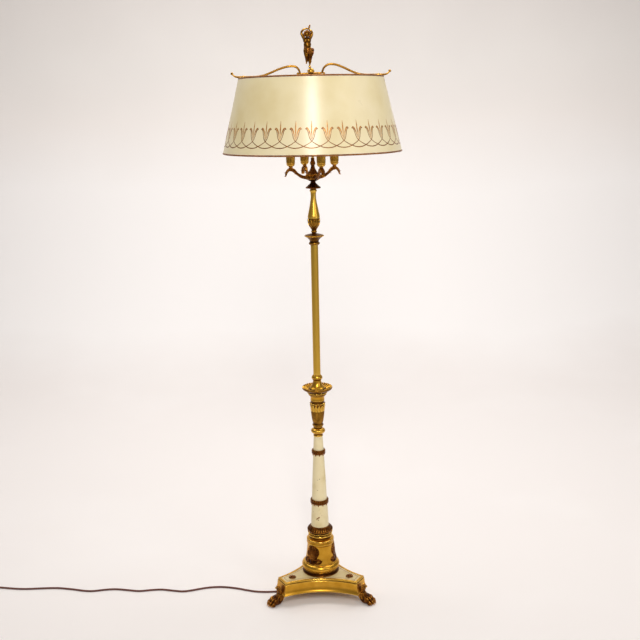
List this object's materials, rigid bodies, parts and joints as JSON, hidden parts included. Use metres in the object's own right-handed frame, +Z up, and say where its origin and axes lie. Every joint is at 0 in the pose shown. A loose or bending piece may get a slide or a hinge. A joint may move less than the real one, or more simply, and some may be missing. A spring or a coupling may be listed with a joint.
{
  "type": "candelabra floor lamp",
  "caption": "Gilt brass and cream floor lamp with a painted drum shade, candle lights under it, a fluted column stem and a three-sided plinth on paw feet.",
  "frame": {"origin": "on the floor, on the lamp's axis", "axes": "+Z up along the stem, -Y towards the plinth's front hollow side, the flex leaves towards -X"},
  "size_m": [1.443, 0.52, 1.7501],
  "materials": {
    "gilt_brass": "gilt cast brass, satin with bright highlights and dark recesses",
    "polished_brass": "polished and lacquered brass tube",
    "patinated_brass": "dark brown patinated cast brass, rubbed bright on its high points",
    "cream_paint": "aged cream paint on metal, worn at its edges",
    "shade_paint": "cream painted sheet metal with a gold stencilled border",
    "zinc_steel": "zinc plated steel",
    "candle_sleeve": "ivory candle sleeve",
    "bulb_glass": "clear candle bulb",
    "flex_cover": "dark brown round flex",
    "dark_plastic": "dark brown moulded plastic"
  },
  "bodies": {
    "stand": {"arm_hub": "patinated_brass", "baluster": "polished_brass", "base_nut": "zinc_steel", "base_torus": "gilt_brass", "beaded_cup": "gilt_brass", "bulb_1": "bulb_glass", "bulb_2": "bulb_glass", "bulb_3": "bulb_glass", "bulb_4": "bulb_glass", "calyx": "gilt_brass", "candle_arm_1": "patinated_brass", "candle_arm_2": "patinated_brass", "candle_arm_3": "patinated_brass", "candle_arm_4": "patinated_brass", "candle_cup_1": "gilt_brass", "candle_cup_2": "gilt_brass", "candle_cup_3": "gilt_brass", "candle_cup_4": "gilt_brass", "candle_sleeve_1": "candle_sleeve", "candle_sleeve_2": "candle_sleeve", "candle_sleeve_3": "candle_sleeve", "candle_sleeve_4": "candle_sleeve", "coil_tie": "dark_plastic", "column": "cream_paint", "column_knop": "gilt_brass", "cord_outlet": "dark_plastic", "cord_relief": "dark_plastic", "drip_dish": "gilt_brass", "flex": "flex_cover", "flex_coil": "flex_cover", "gadrooned_collar": "gilt_brass", "garland_ring_lower": "gilt_brass", "garland_ring_upper": "gilt_brass", "hub_spindle": "patinated_brass", "inverted_dish": "patinated_brass", "leafed_urn": "patinated_brass", "palmette_back": "patinated_brass", "palmette_front": "patinated_brass", "palmette_right": "patinated_brass", "paw_foot_back": "patinated_brass", "paw_foot_left": "patinated_brass", "paw_foot_right": "patinated_brass", "pedestal_drum": "gilt_brass", "plinth_body": "gilt_brass", "plinth_panel": "cream_paint", "plug": "dark_plastic", "rosette_back": "patinated_brass", "rosette_left": "patinated_brass", "rosette_right": "patinated_brass", "shade_rod": "polished_brass", "socle_ring": "patinated_brass", "stem_tube": "polished_brass", "tie_rod": "zinc_steel", "trumpet_ferrule": "gilt_brass"},
    "shade": {"shade_shell": "shade_paint", "shade_wire_top": "gilt_brass", "shade_wire_bottom": "gilt_brass", "shade_carrier": "gilt_brass"},
    "finial": {"finial_nut": "gilt_brass", "finial_figure": "gilt_brass"}
  },
  "joints": [
    {"name": "shade_turn", "type": "hinge", "parent": "stand", "child": "shade", "pos_m": [0, 0, 1.614], "axis": [0, 0, 1], "continuous": true},
    {"name": "finial_screw", "type": "hinge", "parent": "stand", "child": "finial", "pos_m": [0, 0, 1.62], "axis": [0, 0, 1], "continuous": true}
  ]
}
